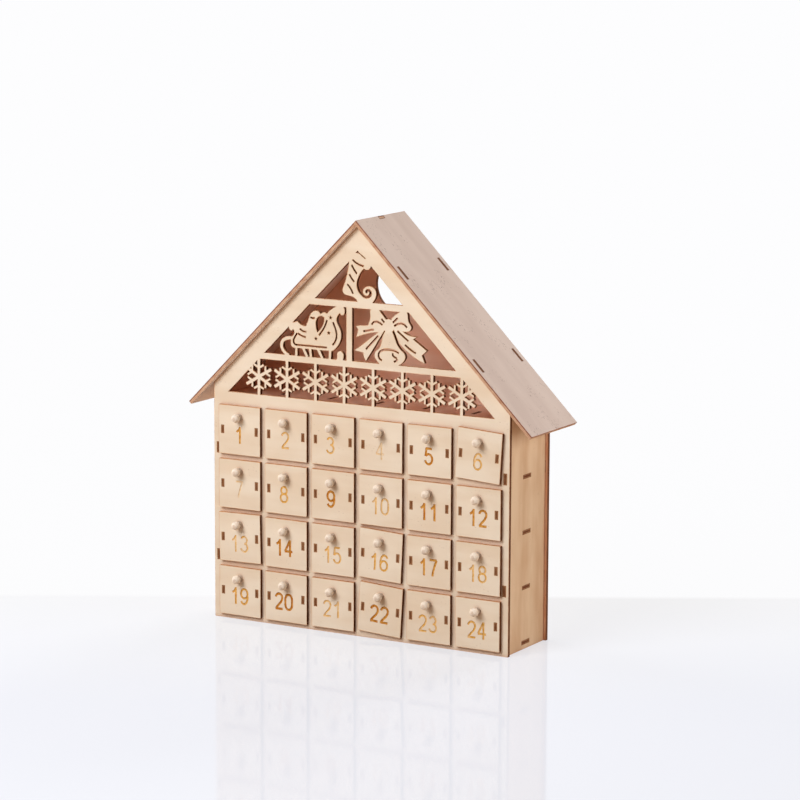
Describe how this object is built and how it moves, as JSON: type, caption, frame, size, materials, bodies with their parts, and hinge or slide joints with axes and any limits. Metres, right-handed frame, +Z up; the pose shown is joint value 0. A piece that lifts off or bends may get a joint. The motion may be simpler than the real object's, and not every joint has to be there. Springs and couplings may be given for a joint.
{
  "type": "wooden advent calendar",
  "caption": "Free-standing plywood house with a fretwork gable and numbered drawers that slide out, used to count the days of December.",
  "frame": {"origin": "on the table, under the middle of the whole object with its knobs", "axes": "+X to the right along the front, +Y from the front to the back, +Z up"},
  "size_m": [0.268, 0.071, 0.285],
  "materials": {
    "house_plywood": "raw",
    "drawer_plywood": "raw",
    "turned_birch": "raw"
  },
  "bodies": {
    "carcass": {"front_panel": "house_plywood", "back_panel": "house_plywood", "left_wall": "house_plywood", "right_wall": "house_plywood", "left_roof": "house_plywood", "right_roof": "house_plywood", "attic_floor": "house_plywood", "upper_shelf": "house_plywood", "middle_shelf": "house_plywood", "lower_shelf": "house_plywood", "bottom_shelf": "house_plywood", "dividers": "house_plywood"},
    "drawer_01": {"drawer_box_01": "drawer_plywood", "knob_01": "turned_birch"},
    "drawer_02": {"drawer_box_02": "drawer_plywood", "knob_02": "turned_birch"},
    "drawer_03": {"drawer_box_03": "drawer_plywood", "knob_03": "turned_birch"},
    "drawer_04": {"drawer_box_04": "drawer_plywood", "knob_04": "turned_birch"},
    "drawer_05": {"drawer_box_05": "drawer_plywood", "knob_05": "turned_birch"},
    "drawer_06": {"drawer_box_06": "drawer_plywood", "knob_06": "turned_birch"},
    "drawer_07": {"drawer_box_07": "drawer_plywood", "knob_07": "turned_birch"},
    "drawer_08": {"drawer_box_08": "drawer_plywood", "knob_08": "turned_birch"},
    "drawer_09": {"drawer_box_09": "drawer_plywood", "knob_09": "turned_birch"},
    "drawer_10": {"drawer_box_10": "drawer_plywood", "knob_10": "turned_birch"},
    "drawer_11": {"drawer_box_11": "drawer_plywood", "knob_11": "turned_birch"},
    "drawer_12": {"drawer_box_12": "drawer_plywood", "knob_12": "turned_birch"},
    "drawer_13": {"drawer_box_13": "drawer_plywood", "knob_13": "turned_birch"},
    "drawer_14": {"drawer_box_14": "drawer_plywood", "knob_14": "turned_birch"},
    "drawer_15": {"drawer_box_15": "drawer_plywood", "knob_15": "turned_birch"},
    "drawer_16": {"drawer_box_16": "drawer_plywood", "knob_16": "turned_birch"},
    "drawer_17": {"drawer_box_17": "drawer_plywood", "knob_17": "turned_birch"},
    "drawer_18": {"drawer_box_18": "drawer_plywood", "knob_18": "turned_birch"},
    "drawer_19": {"drawer_box_19": "drawer_plywood", "knob_19": "turned_birch"},
    "drawer_20": {"drawer_box_20": "drawer_plywood", "knob_20": "turned_birch"},
    "drawer_21": {"drawer_box_21": "drawer_plywood", "knob_21": "turned_birch"},
    "drawer_22": {"drawer_box_22": "drawer_plywood", "knob_22": "turned_birch"},
    "drawer_23": {"drawer_box_23": "drawer_plywood", "knob_23": "turned_birch"},
    "drawer_24": {"drawer_box_24": "drawer_plywood", "knob_24": "turned_birch"}
  },
  "joints": [
    {"name": "drawer_01_slide", "type": "slide", "parent": "carcass", "child": "drawer_01", "axis": [0, -1, 0], "range_m": [0, 0.056]},
    {"name": "drawer_02_slide", "type": "slide", "parent": "carcass", "child": "drawer_02", "axis": [0, -1, 0], "range_m": [0, 0.056]},
    {"name": "drawer_03_slide", "type": "slide", "parent": "carcass", "child": "drawer_03", "axis": [0, -1, 0], "range_m": [0, 0.056]},
    {"name": "drawer_04_slide", "type": "slide", "parent": "carcass", "child": "drawer_04", "axis": [0, -1, 0], "range_m": [0, 0.056]},
    {"name": "drawer_05_slide", "type": "slide", "parent": "carcass", "child": "drawer_05", "axis": [0, -1, 0], "range_m": [0, 0.056]},
    {"name": "drawer_06_slide", "type": "slide", "parent": "carcass", "child": "drawer_06", "axis": [0, -1, 0], "range_m": [0, 0.056]},
    {"name": "drawer_07_slide", "type": "slide", "parent": "carcass", "child": "drawer_07", "axis": [0, -1, 0], "range_m": [0, 0.056]},
    {"name": "drawer_08_slide", "type": "slide", "parent": "carcass", "child": "drawer_08", "axis": [0, -1, 0], "range_m": [0, 0.056]},
    {"name": "drawer_09_slide", "type": "slide", "parent": "carcass", "child": "drawer_09", "axis": [0, -1, 0], "range_m": [0, 0.056]},
    {"name": "drawer_10_slide", "type": "slide", "parent": "carcass", "child": "drawer_10", "axis": [0, -1, 0], "range_m": [0, 0.056]},
    {"name": "drawer_11_slide", "type": "slide", "parent": "carcass", "child": "drawer_11", "axis": [0, -1, 0], "range_m": [0, 0.056]},
    {"name": "drawer_12_slide", "type": "slide", "parent": "carcass", "child": "drawer_12", "axis": [0, -1, 0], "range_m": [0, 0.056]},
    {"name": "drawer_13_slide", "type": "slide", "parent": "carcass", "child": "drawer_13", "axis": [0, -1, 0], "range_m": [0, 0.056]},
    {"name": "drawer_14_slide", "type": "slide", "parent": "carcass", "child": "drawer_14", "axis": [0, -1, 0], "range_m": [0, 0.056]},
    {"name": "drawer_15_slide", "type": "slide", "parent": "carcass", "child": "drawer_15", "axis": [0, -1, 0], "range_m": [0, 0.056]},
    {"name": "drawer_16_slide", "type": "slide", "parent": "carcass", "child": "drawer_16", "axis": [0, -1, 0], "range_m": [0, 0.056]},
    {"name": "drawer_17_slide", "type": "slide", "parent": "carcass", "child": "drawer_17", "axis": [0, -1, 0], "range_m": [0, 0.056]},
    {"name": "drawer_18_slide", "type": "slide", "parent": "carcass", "child": "drawer_18", "axis": [0, -1, 0], "range_m": [0, 0.056]},
    {"name": "drawer_19_slide", "type": "slide", "parent": "carcass", "child": "drawer_19", "axis": [0, -1, 0], "range_m": [0, 0.056]},
    {"name": "drawer_20_slide", "type": "slide", "parent": "carcass", "child": "drawer_20", "axis": [0, -1, 0], "range_m": [0, 0.056]},
    {"name": "drawer_21_slide", "type": "slide", "parent": "carcass", "child": "drawer_21", "axis": [0, -1, 0], "range_m": [0, 0.056]},
    {"name": "drawer_22_slide", "type": "slide", "parent": "carcass", "child": "drawer_22", "axis": [0, -1, 0], "range_m": [0, 0.056]},
    {"name": "drawer_23_slide", "type": "slide", "parent": "carcass", "child": "drawer_23", "axis": [0, -1, 0], "range_m": [0, 0.056]},
    {"name": "drawer_24_slide", "type": "slide", "parent": "carcass", "child": "drawer_24", "axis": [0, -1, 0], "range_m": [0, 0.056]}
  ]
}
